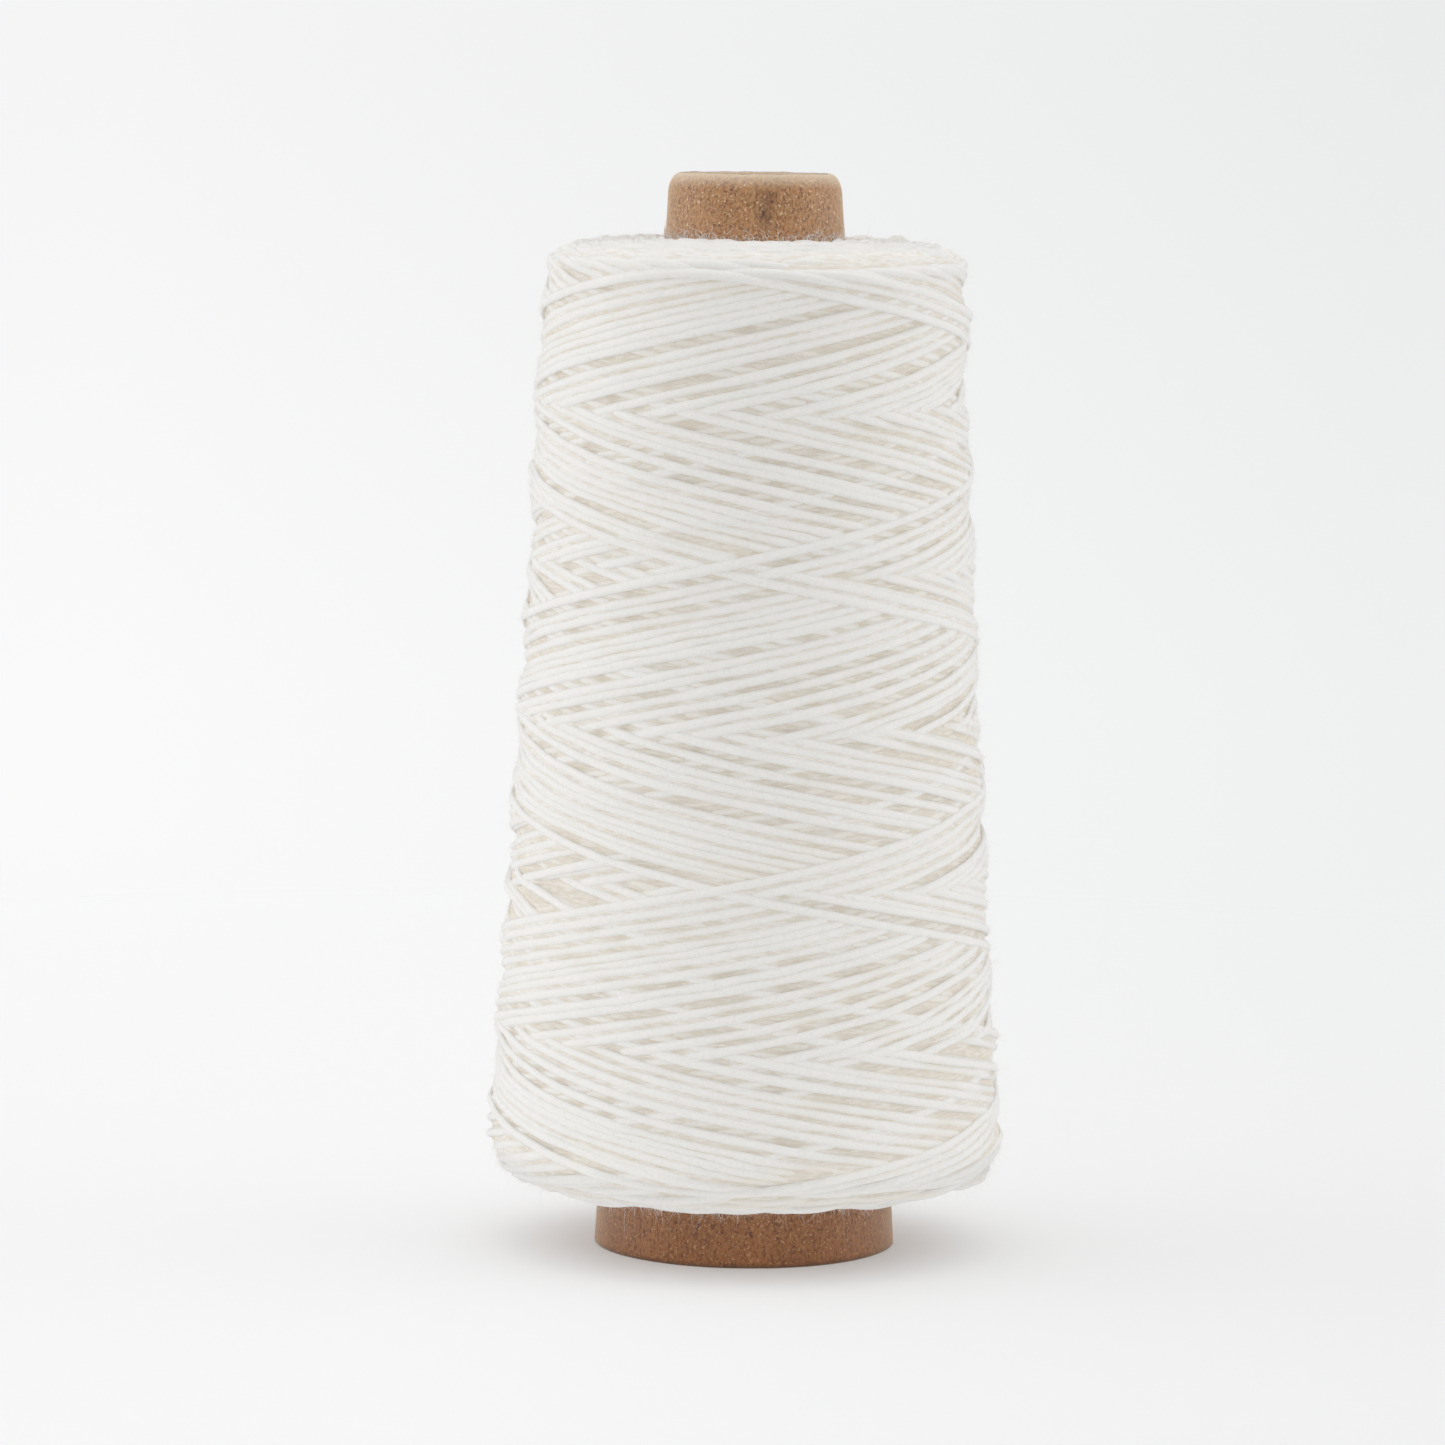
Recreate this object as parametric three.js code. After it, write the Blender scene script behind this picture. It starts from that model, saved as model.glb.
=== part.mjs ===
// A cone of cotton weaving yarn: a tapered core of kraft paper, with one soft yarn cross-wound on it.
// Millimetres, +Z up. The origin is the centre of the core's cut base, on the surface it stands on.
import * as THREE from 'three';

// Driving dimensions of the paper core
const CORE_HEIGHT = 170;
const CORE_BASE_RADIUS = 23.9;
const CORE_HALF_ANGLE = THREE.MathUtils.degToRad(3.5);
const CORE_WALL = 2.3;
const BASE_CHAMFER = 0.35;

// The nose is rolled and burnished, so that yarn can slide over it
const NOSE_ROUND_HEIGHT = 3.4;
const NOSE_ROUND_DEPTH = 2.0;
const NOSE_INNER_ROUND = 0.7;

// Driving dimensions of the wound yarn
const YARN_BOTTOM = 11;
const YARN_TOP = 159.2;
const YARN_GAP = 0.3;
const YARN_LOWER_RADIUS = 40.6;
const YARN_UPPER_RADIUS = 33.6;
const LOWER_SHOULDER = 7;
const LOWER_EDGE_DEPTH = 5.5;
const UPPER_SHOULDER = 6.5;
const UPPER_EDGE_DEPTH = 7.5;
const TOP_RISE = 1.0;

// Smoothness
const TURN_SEGMENTS = 80;
const ROUND_STEPS = 6;
const WALL_STEPS = 5;

const taper = Math.tan(CORE_HALF_ANGLE);

function coreOuterRadius(z) {
  return CORE_BASE_RADIUS - z * taper;
}

function coreInnerRadius(z) {
  return coreOuterRadius(z) - CORE_WALL / Math.cos(CORE_HALF_ANGLE);
}

// Points of a quarter ellipse about (centreRadius, centreZ), from one angle to another in quarter turns
function quarterRound(centreRadius, centreZ, depth, height, fromQuarter, toQuarter) {
  const points = [];
  for (let step = 0; step <= ROUND_STEPS; step += 1) {
    const quarter = THREE.MathUtils.lerp(fromQuarter, toQuarter, step / ROUND_STEPS);
    const angle = quarter * Math.PI / 2;
    points.push(new THREE.Vector2(
      centreRadius + depth * Math.cos(angle),
      centreZ + height * Math.sin(angle),
    ));
  }
  return points;
}

// Points strictly between two ends of a straight wall
function wallBetween(start, end) {
  const points = [];
  for (let step = 1; step < WALL_STEPS; step += 1) {
    points.push(start.clone().lerp(end, step / WALL_STEPS));
  }
  return points;
}

// Turns a closed outline of (radius, height) points about +Z
function turned(name, outline, material) {
  const closed = [...outline, outline[0].clone()];
  const geometry = new THREE.LatheGeometry(closed, TURN_SEGMENTS);
  geometry.rotateX(Math.PI / 2);
  const mesh = new THREE.Mesh(geometry, material);
  mesh.name = name;
  return mesh;
}

// The core: a straight tapered tube, cut square at the base and rolled smooth at the nose
function makePaperCone() {
  const roundStart = CORE_HEIGHT - NOSE_ROUND_HEIGHT;
  const outerRound = quarterRound(
    coreOuterRadius(roundStart) - NOSE_ROUND_DEPTH, roundStart,
    NOSE_ROUND_DEPTH, NOSE_ROUND_HEIGHT, 0, 1,
  );
  const innerRadius = coreInnerRadius(CORE_HEIGHT);
  const innerRound = quarterRound(
    innerRadius + NOSE_INNER_ROUND, CORE_HEIGHT - NOSE_INNER_ROUND,
    NOSE_INNER_ROUND, NOSE_INNER_ROUND, 1, 2,
  );
  const outerFoot = new THREE.Vector2(coreOuterRadius(BASE_CHAMFER), BASE_CHAMFER);
  const innerFoot = new THREE.Vector2(coreInnerRadius(BASE_CHAMFER), BASE_CHAMFER);
  const outline = [
    new THREE.Vector2(coreInnerRadius(0) + BASE_CHAMFER, 0),
    new THREE.Vector2(coreOuterRadius(0) - BASE_CHAMFER, 0),
    outerFoot,
    ...wallBetween(outerFoot, outerRound[0]),
    ...outerRound,
    ...innerRound,
    ...wallBetween(innerRound[ROUND_STEPS], innerFoot),
    innerFoot,
  ];
  const kraft = new THREE.MeshStandardMaterial({ color: 0xb08d68, roughness: 0.85, metalness: 0 });
  return turned('paper_cone', outline, kraft);
}

// The yarn: a tapered ring round the core, with soft shoulders where the traverse turns back
function makeYarnPackage() {
  const innerBottom = new THREE.Vector2(coreOuterRadius(YARN_BOTTOM) + YARN_GAP, YARN_BOTTOM);
  const innerTop = new THREE.Vector2(
    coreOuterRadius(YARN_TOP + TOP_RISE) + YARN_GAP, YARN_TOP + TOP_RISE,
  );
  const lowerRound = quarterRound(
    YARN_LOWER_RADIUS - LOWER_EDGE_DEPTH, YARN_BOTTOM + LOWER_SHOULDER,
    LOWER_EDGE_DEPTH, LOWER_SHOULDER, -1, 0,
  );
  const upperRound = quarterRound(
    YARN_UPPER_RADIUS - UPPER_EDGE_DEPTH, YARN_TOP - UPPER_SHOULDER,
    UPPER_EDGE_DEPTH, UPPER_SHOULDER, 0, 1,
  );
  const outline = [
    innerBottom,
    ...lowerRound,
    ...wallBetween(lowerRound[ROUND_STEPS], upperRound[0]),
    ...upperRound,
    innerTop,
    ...wallBetween(innerTop, innerBottom),
  ];
  const cotton = new THREE.MeshStandardMaterial({ color: 0xf1efe9, roughness: 0.95, metalness: 0 });
  return turned('yarn_package', outline, cotton);
}

const coneOfYarn = new THREE.Group();
coneOfYarn.add(makePaperCone());
coneOfYarn.add(makeYarnPackage());

export default coneOfYarn;
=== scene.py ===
"""A cone of cotton weaving yarn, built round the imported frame.

The yarn is wound here the way a winding machine winds it. One strand is laid on the paper cone,
stroke after stroke, and every turn rests, taut, on the turns below it. The wound layers are then
drawn in or out a little, to the package's outline, and the stretches that stay in view become
mesh. Loose fibres stand on them, and the paper cone is turned round the same axis.

Winding is worked out in millimetres, in columns of angle and rows of height. Pieces are made in
metres. One random generator serves the whole yarn, so the order of the draws fixes its look.
"""

import math

import bpy
import numpy as np
from mathutils import Matrix, Vector


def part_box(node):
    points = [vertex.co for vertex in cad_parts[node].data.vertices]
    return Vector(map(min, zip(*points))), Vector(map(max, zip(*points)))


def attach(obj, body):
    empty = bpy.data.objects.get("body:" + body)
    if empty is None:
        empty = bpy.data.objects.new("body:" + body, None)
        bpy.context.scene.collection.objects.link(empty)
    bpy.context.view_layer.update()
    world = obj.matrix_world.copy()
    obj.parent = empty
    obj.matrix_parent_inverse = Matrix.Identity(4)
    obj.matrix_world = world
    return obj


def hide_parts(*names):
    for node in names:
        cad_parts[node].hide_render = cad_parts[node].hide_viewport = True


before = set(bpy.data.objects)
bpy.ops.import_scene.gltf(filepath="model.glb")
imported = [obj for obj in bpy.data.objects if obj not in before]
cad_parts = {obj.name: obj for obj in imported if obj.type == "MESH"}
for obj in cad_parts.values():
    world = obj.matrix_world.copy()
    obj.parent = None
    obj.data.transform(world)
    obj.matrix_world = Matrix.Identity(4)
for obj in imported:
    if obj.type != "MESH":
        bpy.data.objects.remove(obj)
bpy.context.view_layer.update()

MM = 0.001
TURN = 2 * math.pi
SEED = 11

# The paper cone and the package, read from the frame, in millimetres
cone_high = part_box("paper_cone")[1] / MM
package_low, package_high = (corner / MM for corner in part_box("yarn_package"))
CONE_HEIGHT = cone_high.z
CONE_BASE_RADIUS = cone_high.x
CONE_TAPER = math.tan(math.radians(3.5))
CONE_WALL = 2.3
NOSE_ROUND_HEIGHT = 3.4
NOSE_ROUND_DEPTH = 2.0

# The package's outline: a tapered wall, slightly waisted, with a rounded foot
LOW_Z, LOW_RADIUS = 27.0, 39.6
HIGH_Z, HIGH_RADIUS = 150.0, 32.9
WAIST = 0.5
FOOT_Z, FOOT_HEIGHT, FOOT_DEPTH = 19.0, 7.5, 6.0
LUMPINESS = 0.25

# The strand as it shows: its width on top, its height, and how much wider it is underneath
STRAND_WIDTH = 1.08
STRAND_HEIGHT = 0.92
STRAND_FLARE = 0.72
SIDES = 8
SAMPLE_STEP = 1.2

# The strand's section while it is wound, when its neighbours press it flat
PRESSED_WIDTH = 1.12
PRESSED_HEIGHT = 0.5

# How the yarn is wound
MIDDLE_Z = 85.0
TURNS_PER_STROKE = 3
WINDS_PER_COVER = 25.42
COVERS = 16
WINDS = int(COVERS * WINDS_PER_COVER)
STROKE_BOTTOM = package_low.z + 0.9
STROKE_TOP = package_high.z - 1.0

# The last covers stop short of the ends, which rounds the package's edges
BOTTOM_SHOULDER, BOTTOM_SHOULDER_START = 3.4, 0.68
TOP_SHOULDER, TOP_SHOULDER_START = 3.8, 0.66
TOP_SLOPE = 0.9

# Where the last stroke starts, how far on the strand ends, and how its end is tucked in
NEWEST_ANGLE = math.radians(-97)
TAIL_ANGLE = math.radians(205)
TAIL_TUCK = 14.0
TAIL_DROP = 1.5

# The matted yarn between the strands: how far it lies under their tops and under the surface
MATTED_DEPTH = 0.66
MATTED_SAG = 0.09

# The winding chart: its column's width is for a radius halfway up the package
COLUMNS = 720
COLUMN_ANGLE = TURN / COLUMNS
COLUMN_WIDTH = 36.0 * COLUMN_ANGLE
ROW_STEP = 0.25
CHART_LOW = STROKE_BOTTOM - 4
CHART_ROWS = int((STROKE_TOP + 4 - CHART_LOW) / ROW_STEP) + 1
CHART_Z = CHART_LOW + np.arange(CHART_ROWS) * ROW_STEP


# ---- winding

def cone_radius(z):
    """Outer radius of the paper cone at a height."""
    return CONE_BASE_RADIUS - z * CONE_TAPER


def outline_radius(z):
    """Mean outer radius of the finished package at a height."""
    along = (z - LOW_Z) / (HIGH_Z - LOW_Z)
    straight = LOW_RADIUS + (HIGH_RADIUS - LOW_RADIUS) * along
    return straight - WAIST * 4 * along * (1 - along)


def blurred(values, sigma):
    """Values smoothed by a Gaussian of that many samples, with the end values held."""
    reach = int(3 * sigma) + 1
    kernel = np.exp(-0.5 * (np.arange(-reach, reach + 1) / sigma) ** 2)
    padded = np.pad(values, reach, mode="edge")
    return np.convolve(padded, kernel / kernel.sum(), mode="valid")


def wander(rng, count, sigma):
    """Smooth noise of unit spread, changing over about that many samples."""
    margin = int(4 * sigma)
    noise = blurred(rng.normal(size=count + 2 * margin), sigma)[margin:margin + count]
    return noise / noise.std()


def taut_over(heights, spacing, radius):
    """Heights of a taut string laid round a drum, touching these heights from above."""
    x = np.arange(len(heights)) * spacing
    drum = (x - x.mean()) ** 2 / (2 * radius)
    flat = (heights - drum).tolist()
    touching = []
    for i, value in enumerate(flat):
        while len(touching) > 1:
            a, b = touching[-2:]
            if (flat[b] - flat[a]) * (i - a) > (value - flat[a]) * (b - a):
                break
            touching.pop()
        touching.append(i)
    return np.interp(np.arange(len(flat)), touching, [flat[i] for i in touching]) + drum


class Chart:
    """The package's surface while it is wound: a radius for each row and column."""

    REACH = math.ceil(PRESSED_WIDTH / 2 / ROW_STEP)

    def __init__(self):
        self.radius = np.repeat(cone_radius(CHART_Z)[:, None], COLUMNS, axis=1)

    def under(self, z, lean):
        """The rows under a strand, one at a time, and its section's half height over each."""
        row = (z - CHART_LOW) / ROW_STEP
        first = np.floor(row).astype(int)
        for k in range(-self.REACH, self.REACH + 2):
            rows = np.clip(first + k, 0, CHART_ROWS - 1)
            across = (rows - row) * ROW_STEP * lean / (PRESSED_WIDTH / 2)
            section = PRESSED_HEIGHT / 2 * np.sqrt(np.maximum(1 - across ** 2, 0))
            yield rows, section, np.abs(across) < 1

    def touch(self, columns, z, lean):
        """The lowest radius at which a strand's centre clears what lies under it."""
        best = np.zeros(len(z))
        for rows, section, inside in self.under(z, lean):
            lifted = self.radius[rows, columns] + section
            best = np.where(inside & (lifted > best), lifted, best)
        return best

    def lay(self, columns, z, lean, centre):
        """Adds a strand to the surface."""
        for rows, section, inside in self.under(z, lean):
            top = np.where(inside, centre + section, 0)
            self.radius[rows, columns] = np.maximum(self.radius[rows, columns], top)


def shoulder(done, height, start):
    """How far short of the package's end a stroke stops, for the share of the winding done."""
    along = np.clip((done - start) / (1 - start), 0, 0.98)
    return height * (1 - np.sqrt(1 - along ** 2))


def turn_softness(rng, done, least, spread, late):
    """How softly the strand turns back, in millimetres: more so in the last part of the winding."""
    more_at_end = 1.2 * np.clip((done - (1 - late)) / late, 0, 1) ** 2
    return least + spread * rng.random(len(done)) ** 1.3 + more_at_end


def reversal_plan(rng):
    """Where the strand turns back, bottom and top by turns: its angle, height and softness."""
    mean_step = TURN / WINDS_PER_COVER
    per_wind = 2 * TURNS_PER_STROKE * TURN - mean_step
    half_wind = TURNS_PER_STROKE * TURN - mean_step / 2
    astray = 0.3 * wander(rng, WINDS + 1, 1.5) + 0.14 * rng.normal(size=WINDS + 1)
    bottoms = np.arange(WINDS + 1) * per_wind + astray * mean_step
    bottoms += NEWEST_ANGLE - bottoms[-1]
    tops = np.append((bottoms[:-1] + bottoms[1:]) / 2, bottoms[-1] + half_wind)
    tops += 0.03 * rng.normal(size=len(tops))
    done = np.linspace(0, 1, len(tops))
    soft_bottoms = turn_softness(rng, done, 0.5, 1.8, late=0.28)
    soft_tops = turn_softness(rng, done, 0.6, 1.6, late=0.14)
    short_bottoms = shoulder(done, BOTTOM_SHOULDER, BOTTOM_SHOULDER_START)
    short_tops = shoulder(done, TOP_SHOULDER, TOP_SHOULDER_START)
    end_bottoms = STROKE_BOTTOM + short_bottoms - soft_bottoms
    end_tops = STROKE_TOP - short_tops - TOP_SLOPE * done + soft_tops
    end_bottoms += 0.25 * rng.normal(size=len(tops))
    end_tops += 0.15 * rng.normal(size=len(tops))
    plan = {
        "angle": np.stack([bottoms, tops], axis=1).ravel(),
        "softness": np.stack([soft_bottoms, soft_tops], axis=1).ravel(),
        "z": np.stack([end_bottoms, end_tops], axis=1).ravel(),
    }
    after = {"angle": plan["angle"][-1] + half_wind, "softness": 1.0, "z": plan["z"][-2]}
    return {name: np.append(values, after[name]) for name, values in plan.items()}


def strand_route(rng):
    """The strand's column, angle and height, one sample for each column that it crosses."""
    plan = reversal_plan(rng)
    angles, softness, ends = plan["angle"], plan["softness"], plan["z"]
    first = math.ceil(angles[0] / COLUMN_ANGLE)
    last = math.floor((angles[-2] + TAIL_ANGLE) / COLUMN_ANGLE)
    index = np.arange(first, last + 1)
    angle = index * COLUMN_ANGLE
    stroke = np.searchsorted(angles, angle, side="right") - 1
    rise = (ends[stroke + 1] - ends[stroke]) / (angles[stroke + 1] - angles[stroke])
    way = np.sign(rise)
    since = np.abs(rise) * (angle - angles[stroke])
    until = np.abs(rise) * (angles[stroke + 1] - angle)
    rounding = np.sqrt(softness[stroke] ** 2 + since ** 2) - since
    rounding_off = np.sqrt(softness[stroke + 1] ** 2 + until ** 2) - until
    z = ends[stroke] + way * (since + rounding - rounding_off)
    calm_near_turns = np.clip(np.minimum(since, until) / 6, 0, 1)
    z += 0.16 * wander(rng, len(z), 55) * calm_near_turns
    return index % COLUMNS, angle, z


def grooves(chart, columns, z, lean, spacing):
    """How far a strand slides up or down into the grooves under it, in millimetres."""
    offsets = np.array([-0.6, -0.3, 0.0, 0.3, 0.6])
    stiffness, softness = 2.0, 0.06
    felt_over, slides_over = 3.0, 4.0
    costs = []
    for offset in offsets:
        touch = chart.touch(columns, z + offset, lean)
        costs.append(blurred(touch, felt_over / spacing) + stiffness * offset ** 2)
    weights = np.exp((np.min(costs, axis=0) - costs) / softness)
    slide = (weights * offsets[:, None]).sum(axis=0) / weights.sum(axis=0)
    return blurred(slide, slides_over / spacing)


def wind(rng):
    """Winds the package, a turn at a time. Returns the strand's samples and its surface's radii.

    Each turn is worked out with some of the strand before and after it, so that the turns join.
    """
    # Samples seen on either side of a turn, and samples over which its slide joins the last one's
    look, join = 80, 12
    # In millimetres: what the winding adds to the radius, and how far a strand sinks in and sags
    added_radius, squeeze, most_sag = 18, 0.10, 0.5
    taut_share, sagging_share = 0.72, 0.28
    sagging_bend, laid_bend = 1.2, 1.0
    highest = STROKE_TOP + 0.2
    columns, angle, z = strand_route(rng)
    count = len(z)
    centre = np.zeros(count)
    chart = Chart()
    slid = 0.0
    for start in range(0, count, COLUMNS):
        end = min(start + COLUMNS, count)
        back = max(start - look, 0)
        ahead = min(end + look, count)
        cols = columns[back:ahead]
        height = z[back:ahead].copy()
        drum = cone_radius(MIDDLE_Z) + added_radius * start / count
        spacing = drum * COLUMN_ANGLE
        lean = 1 / np.sqrt(1 + (np.gradient(height) / spacing) ** 2)
        done = start - back
        since_join = np.arange(len(height)) - done
        blend = np.clip(since_join / join, 0, 1) if done else 1.0
        slide = grooves(chart, cols, height, lean, spacing) * blend + slid * (1 - blend)
        slide[:done] = 0
        height = np.minimum(height + slide, highest)
        touch = chart.touch(cols, height, lean)
        touch[:done] = centre[back:start] + squeeze
        string = taut_over(touch, spacing, drum)
        sagging = np.maximum(blurred(touch, sagging_bend / spacing), string - most_sag)
        laid = taut_share * string + sagging_share * sagging
        laid = blurred(laid, laid_bend / spacing) - squeeze
        new = slice(done, end - back)
        slid = slide[end - back - 1]
        z[start:end] = height[new]
        centre[start:end] = laid[new]
        chart.lay(cols[new], height[new], lean[new], laid[new])
    return {"column": columns, "angle": angle, "z": z, "radius": centre}, chart.radius


# ---- the wound surface

def blurred_rows(table, sigma):
    """Each row of a table blurred."""
    return np.array([blurred(row, sigma) for row in table])


def smoothed_surface(surface, up_and_down, round_about):
    """The package's surface blurred by those distances in millimetres."""
    along = blurred_rows(surface.T, up_and_down / ROW_STEP).T
    wrap = 60
    wrapped = np.concatenate([along[:, -wrap:], along, along[:, :wrap]], axis=1)
    return blurred_rows(wrapped, round_about / COLUMN_WIDTH)[:, wrap:-wrap]


def nearest_row(z):
    """The chart's row nearest to a height."""
    return np.clip(((z - CHART_LOW) / ROW_STEP).round().astype(int), 0, CHART_ROWS - 1)


def shifted(surface, steps, axis):
    """The surface shifted along an axis by every number of steps up to that, either way."""
    return [np.roll(surface, shift, axis) for shift in range(-steps, steps + 1)]


def strand_tops(surface, reach):
    """The surface resting on the tops of the strands, with gaps up to twice that reach bridged."""
    tops = np.max(shifted(surface, round(reach / ROW_STEP), axis=0), axis=0)
    return np.max(shifted(tops, round(reach / COLUMN_WIDTH), axis=1), axis=0)


def creases_filled(surface, reach):
    """The surface with the creases up to twice that reach wide, up and down, filled level."""
    steps = round(reach / ROW_STEP)
    raised = np.max(shifted(surface, steps, axis=0), axis=0)
    return np.min(shifted(raised, steps, axis=0), axis=0)


def foot_limit(surface):
    """The most the layers may draw out near the package's foot, whose lower edge is rounded."""
    core = cone_radius(CHART_Z)[:, None]
    wound = smoothed_surface(surface, up_and_down=0.8, round_about=6.0)
    below = np.clip((FOOT_Z - CHART_Z) / FOOT_HEIGHT, 0, 0.98)[:, None]
    edge = outline_radius(CHART_Z)[:, None] - FOOT_DEPTH * (1 - np.sqrt(1 - below ** 2))
    limit = (edge - core) / np.maximum(wound - core, 1)
    return np.where(below > 0, limit, np.inf)


def growth_table(surface):
    """What multiplies the wound layers' depth, row by column, to give the package its outline.

    It is worked out between the two shoulders, and held from there to the ends.
    """
    full_size = [STROKE_BOTTOM + BOTTOM_SHOULDER + 0.6, HIGH_Z - 3]
    low, high = np.searchsorted(CHART_Z, full_size)
    z = CHART_Z[low:]
    core = cone_radius(z)[:, None]
    wound = smoothed_surface(surface[low:], up_and_down=4.0, round_about=6.0)
    lumps = wound - wound.mean(axis=1, keepdims=True)
    wanted = outline_radius(z)[:, None] + LUMPINESS * lumps - core
    factor = wanted / np.maximum(wound - core, 1)
    factor[high - low:] = factor[high - low]
    growth = np.concatenate([np.repeat(factor[:1], low, axis=0), factor])
    return np.minimum(growth, foot_limit(surface))


def settle(radius, z, column, growth):
    """Draws a wound radius in or out so that the package has its outline."""
    core = cone_radius(z)
    return core + (radius - core) * growth[nearest_row(z), column]


def tucked(radius):
    """The strand's radius, with its running end drawn down between the turns under it."""
    to_end = np.arange(len(radius))[::-1] * COLUMN_WIDTH
    return radius - TAIL_DROP * np.clip(1 - to_end / TAIL_TUCK, 0, 1) ** 2


class Level:
    """The surface that rests on the strands' tops, and the matted yarn that fills in below it."""

    def __init__(self, surface, growth):
        tops = strand_tops(surface, reach=1.2)
        tops = smoothed_surface(tops, up_and_down=1.2, round_about=1.2)
        filled = creases_filled(surface, reach=0.5)
        filled = smoothed_surface(filled, up_and_down=0.35, round_about=0.8)
        self.matted = np.maximum(tops - MATTED_DEPTH, filled - MATTED_SAG)
        self.settled = settle(tops, CHART_Z[:, None], np.arange(COLUMNS)[None, :], growth)

    def depth(self, places):
        """From 0 on top of the strands to 1 a strand's width below them, and less near the top."""
        # The yarn's materials paint shade by this depth, warmer and darker deeper down.
        x, y, z = places.T
        column = np.round(np.arctan2(y, x) / COLUMN_ANGLE).astype(int) % COLUMNS
        inside = self.settled[nearest_row(z), column] - np.hypot(x, y)
        past_stroke, light_reach, least = 0.5, 5, 0.2
        from_ends = np.minimum(STROKE_TOP + past_stroke - z, z - STROKE_BOTTOM + past_stroke)
        open_to_light = np.clip((STROKE_TOP - z) / light_reach, least, 1)
        return np.clip(np.minimum(inside, from_ends) / STRAND_WIDTH, 0, 1) * open_to_light


# ---- what stays in view

def lean_of(strand):
    """Cosine of the strand's angle from level, at each sample."""
    slope = np.gradient(strand["z"]) / (strand["radius"] * COLUMN_ANGLE)
    return 1 / np.sqrt(1 + slope ** 2)


def seen_from_side(strand, surface, level, depth=0.35):
    """True where some of the strand is near the package's surface and clear of the matted yarn."""
    chart = Chart()
    matted = level.matted - (STRAND_HEIGHT - PRESSED_HEIGHT) / 2
    seen = np.zeros(len(strand["z"]), bool)
    for rows, section, inside in chart.under(strand["z"], lean_of(strand)):
        top = strand["radius"] + section
        hidden_by = surface[rows, strand["column"]] - top
        seen |= inside & (hidden_by < depth) & (top > matted[rows, strand["column"]])
    return seen


def seen_from_end(strand, facing, depth=0.8, zone=9.0):
    """True where the strand shows on an end of the package: facing is 1 at the top, -1 below."""
    nowhere = -1e9
    radius_step = 0.25
    reach = math.ceil(STRAND_HEIGHT / 2 / radius_step)
    edge = STROKE_TOP if facing > 0 else STROKE_BOTTOM
    near = np.flatnonzero(facing * (strand["z"] - edge) > -zone)
    column = strand["column"][near]
    out = facing * strand["z"][near]
    ring = strand["radius"][near] / radius_step
    first = np.floor(ring).astype(int)
    face = np.full((int(ring.max()) + reach + 3, COLUMNS), nowhere)
    bands = []
    for k in range(-reach, reach + 2):
        across = (first + k - ring) * radius_step / (STRAND_HEIGHT / 2)
        section = STRAND_WIDTH / 2 * np.sqrt(np.maximum(1 - across ** 2, 0))
        reached = np.where(np.abs(across) < 1, out + section, nowhere)
        np.maximum.at(face, (first + k, column), reached)
        bands.append((first + k, reached))
    seen = np.zeros(len(strand["z"]), bool)
    for rings, reached in bands:
        seen[near] |= (reached > nowhere) & (face[rings, column] - reached < depth)
    return seen


def runs_in_view(strand, surface, level):
    """First and last sample of each stretch that shows, its ends carried on out of sight."""
    carry = 15
    from_ends = seen_from_end(strand, 1) | seen_from_end(strand, -1)
    seen = seen_from_side(strand, surface, level) | from_ends
    carried = np.convolve(seen, np.ones(carry), mode="same") > 0.5
    edges = np.flatnonzero(np.diff(np.concatenate([[0], carried.astype(int), [0]])))
    return edges[0::2], edges[1::2] - 1


# ---- meshes

def mesh_object(name, vertices, faces, material, smooth=True):
    """An object from vertices in millimetres and faces that all have the same number of corners."""
    mesh = bpy.data.meshes.new(name)
    count, corners = faces.shape
    mesh.vertices.add(len(vertices))
    mesh.vertices.foreach_set("co", (np.asarray(vertices) * MM).astype(np.float32).ravel())
    mesh.loops.add(count * corners)
    mesh.loops.foreach_set("vertex_index", faces.astype(np.int32).ravel())
    mesh.polygons.add(count)
    mesh.polygons.foreach_set("loop_start", np.arange(0, count * corners, corners, dtype=np.int32))
    mesh.polygons.foreach_set("use_smooth", np.full(count, smooth))
    mesh.update(calc_edges=True)
    mesh.materials.append(material)
    piece = bpy.data.objects.new(name, mesh)
    bpy.context.scene.collection.objects.link(piece)
    return piece


def add_values(piece, name, values):
    """Stores one number for each vertex, for the material to read."""
    attribute = piece.data.attributes.new(name, "FLOAT", "POINT")
    attribute.data.foreach_set("value", np.asarray(values, np.float32).ravel())


def add_map(piece, name, coordinates):
    """Stores a UV map, one pair for each face corner."""
    layer = piece.data.uv_layers.new(name=name)
    layer.data.foreach_set("uv", np.asarray(coordinates, np.float32).ravel())


def outward_at(angle):
    """Level directions straight out from the axis, one row for each angle."""
    return np.stack([np.cos(angle), np.sin(angle), np.zeros(len(angle))], axis=1)


def unit(vectors):
    """The vectors made one long."""
    return vectors / np.linalg.norm(vectors, axis=1)[:, None]


def strand_frames(strand, rng):
    """Place, directions, length, girth and tone for every sample of the strand."""
    count = len(strand["z"])
    outward = outward_at(strand["angle"])
    place = outward * strand["radius"][:, None]
    place[:, 2] = strand["z"]
    along = np.gradient(place, axis=0)
    step = np.linalg.norm(along, axis=1)
    along /= step[:, None]
    outward = unit(outward - along * (outward * along).sum(axis=1)[:, None])
    return {
        "place": place,
        "outward": outward,
        "sideways": np.cross(outward, along),
        "along": along,
        "length": np.cumsum(step),
        "girth": 1 + 0.045 * wander(rng, count, 30) + 0.035 * wander(rng, count, 6),
        "tone": 0.5 * wander(rng, count, 400) + 0.5 * wander(rng, count, 60),
    }


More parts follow.
